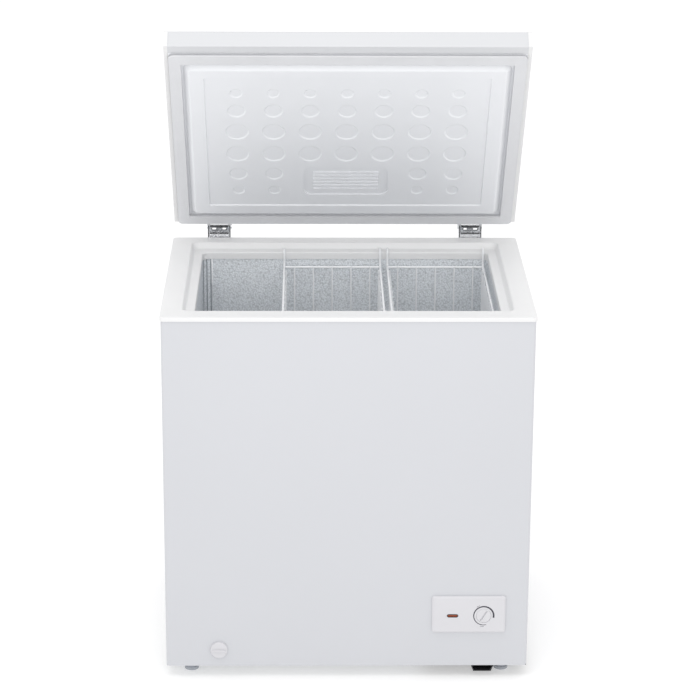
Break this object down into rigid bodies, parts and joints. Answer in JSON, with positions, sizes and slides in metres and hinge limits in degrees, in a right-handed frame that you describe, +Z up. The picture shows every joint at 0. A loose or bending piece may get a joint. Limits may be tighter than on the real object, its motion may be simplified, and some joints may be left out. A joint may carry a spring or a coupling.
{
  "type": "chest freezer",
  "caption": "Compact chest freezer with a raised hinged lid, stucco aluminium tub, hanging wire baskets and a corner compressor compartment.",
  "frame": {"origin": "on the floor, under the middle of the overall width and depth with the lid raised", "axes": "+X to the right as the user stands in front, +Y to the back where the lid is hinged, +Z up"},
  "size_m": [0.7586, 0.6097, 1.3177],
  "materials": {
    "white_steel": "satin",
    "galvanised": "satin",
    "white_plastic": "satin",
    "panel_white": "satin",
    "stucco_aluminium": "satin",
    "foam": "matte",
    "gasket_white": "matte",
    "coated_wire": "gloss",
    "zinc_plate": "satin",
    "spring_steel": "satin",
    "black_steel": "satin",
    "black_plastic": "matte",
    "black_rubber": "matte",
    "copper_tube": "satin",
    "coil_tube": "satin",
    "foot_grey": "matte",
    "amber_lens": "gloss"
  },
  "bodies": {
    "cabinet": {"back_sheet": "galvanised", "base_sheet": "galvanised", "cable_gland": "black_plastic", "capillary_tube": "copper_tube", "compressor": "black_steel", "compressor_bolts": "zinc_plate", "compressor_grommets": "black_rubber", "compressor_tray": "black_steel", "condenser_coil": "coil_tube", "control_bezel": "white_plastic", "control_bracket": "galvanised", "discharge_pipe": "copper_tube", "drain_tube": "white_plastic", "evaporator_coil": "coil_tube", "filter_drier": "copper_tube", "foot_inserts": "black_plastic", "hinge_cabinet_bracket_left": "zinc_plate", "hinge_cabinet_bracket_right": "zinc_plate", "hinge_cabinet_screws": "zinc_plate", "hinge_pins": "zinc_plate", "hinge_springs": "spring_steel", "indicator_lamp": "amber_lens", "indicator_lens": "amber_lens", "insulation_foam": "foam", "liner_floor": "stucco_aluminium", "liner_walls": "stucco_aluminium", "outer_wrap": "white_steel", "relay_cover": "black_plastic", "service_cover": "galvanised", "service_cover_screws": "zinc_plate", "suction_pipe": "copper_tube", "thermostat_body": "black_plastic", "top_rim": "white_plastic", "wiring_harness": "black_plastic"},
    "lid": {"lid_foam": "foam", "lid_gasket": "gasket_white", "lid_inner_panel": "panel_white", "lid_skin": "white_steel", "lid_trim_left": "white_plastic", "lid_trim_right": "white_plastic", "hinge_lid_bracket_left": "zinc_plate", "hinge_lid_bracket_right": "zinc_plate", "hinge_lid_screws": "zinc_plate", "hinge_link_pins": "zinc_plate"},
    "basket_left": {"basket_left_cross_wires": "coated_wire", "basket_left_frame": "coated_wire", "basket_left_long_wires": "coated_wire"},
    "basket_right": {"basket_right_cross_wires": "coated_wire", "basket_right_frame": "coated_wire", "basket_right_long_wires": "coated_wire"},
    "plunger_left": {"hinge_plunger_left": "zinc_plate"},
    "plunger_right": {"hinge_plunger_right": "zinc_plate"},
    "thermostat_dial": {"thermostat_knob": "white_plastic", "thermostat_shaft": "zinc_plate"},
    "drain_cap": {"drain_cap": "white_plastic"},
    "drain_plug": {"drain_plug": "black_rubber"},
    "foot_front_left": {"foot_front_left": "foot_grey"},
    "foot_front_right": {"foot_front_right": "foot_grey"},
    "foot_rear_left": {"foot_rear_left": "foot_grey"},
    "foot_rear_right": {"foot_rear_right": "foot_grey"}
  },
  "joints": [
    {"name": "lid_hinge", "type": "hinge", "parent": "cabinet", "child": "lid", "pos_m": [0, 0.292, 0.812], "axis": [-1, 0, 0], "range_deg": [-55, 20]},
    {"name": "plunger_left_slide", "type": "slide", "parent": "cabinet", "child": "plunger_left", "axis": [0, 0, 1], "range_m": [-0.0127, 0.0048], "deforming": ["hinge_springs"]},
    {"name": "plunger_right_slide", "type": "slide", "parent": "cabinet", "child": "plunger_right", "axis": [0, 0, 1], "range_m": [-0.0127, 0.0048]},
    {"name": "basket_left_slide", "type": "slide", "parent": "cabinet", "child": "basket_left", "axis": [1, 0, 0], "range_m": [-0.165, 0]},
    {"name": "basket_right_lift", "type": "slide", "parent": "cabinet", "child": "basket_right", "axis": [0, 0, 1], "range_m": [0, 0.08]},
    {"name": "thermostat_turn", "type": "hinge", "parent": "cabinet", "child": "thermostat_dial", "pos_m": [0.2843, -0.296, 0.1417], "axis": [0, -1, 0], "range_deg": [-68, 167]},
    {"name": "drain_cap_pull", "type": "slide", "parent": "cabinet", "child": "drain_cap", "axis": [0, -1, 0], "range_m": [0, 0.03]},
    {"name": "drain_plug_pull", "type": "slide", "parent": "cabinet", "child": "drain_plug", "axis": [0, 0, 1], "range_m": [0, 0.04]},
    {"name": "foot_front_left_turn", "type": "hinge", "parent": "cabinet", "child": "foot_front_left", "pos_m": [-0.326, -0.251, 0.012], "axis": [0, 0, 1], "continuous": true},
    {"name": "foot_front_right_turn", "type": "hinge", "parent": "cabinet", "child": "foot_front_right", "pos_m": [0.326, -0.251, 0.012], "axis": [0, 0, 1], "continuous": true},
    {"name": "foot_rear_left_turn", "type": "hinge", "parent": "cabinet", "child": "foot_rear_left", "pos_m": [-0.326, 0.219, 0.012], "axis": [0, 0, 1], "continuous": true},
    {"name": "foot_rear_right_turn", "type": "hinge", "parent": "cabinet", "child": "foot_rear_right", "pos_m": [0.326, 0.219, 0.012], "axis": [0, 0, 1], "continuous": true}
  ],
  "couplings": [
    {"joint": "plunger_left_slide", "follows": "lid_hinge", "m_per_rad": 0.01302},
    {"joint": "plunger_right_slide", "follows": "lid_hinge", "m_per_rad": 0.01302}
  ]
}
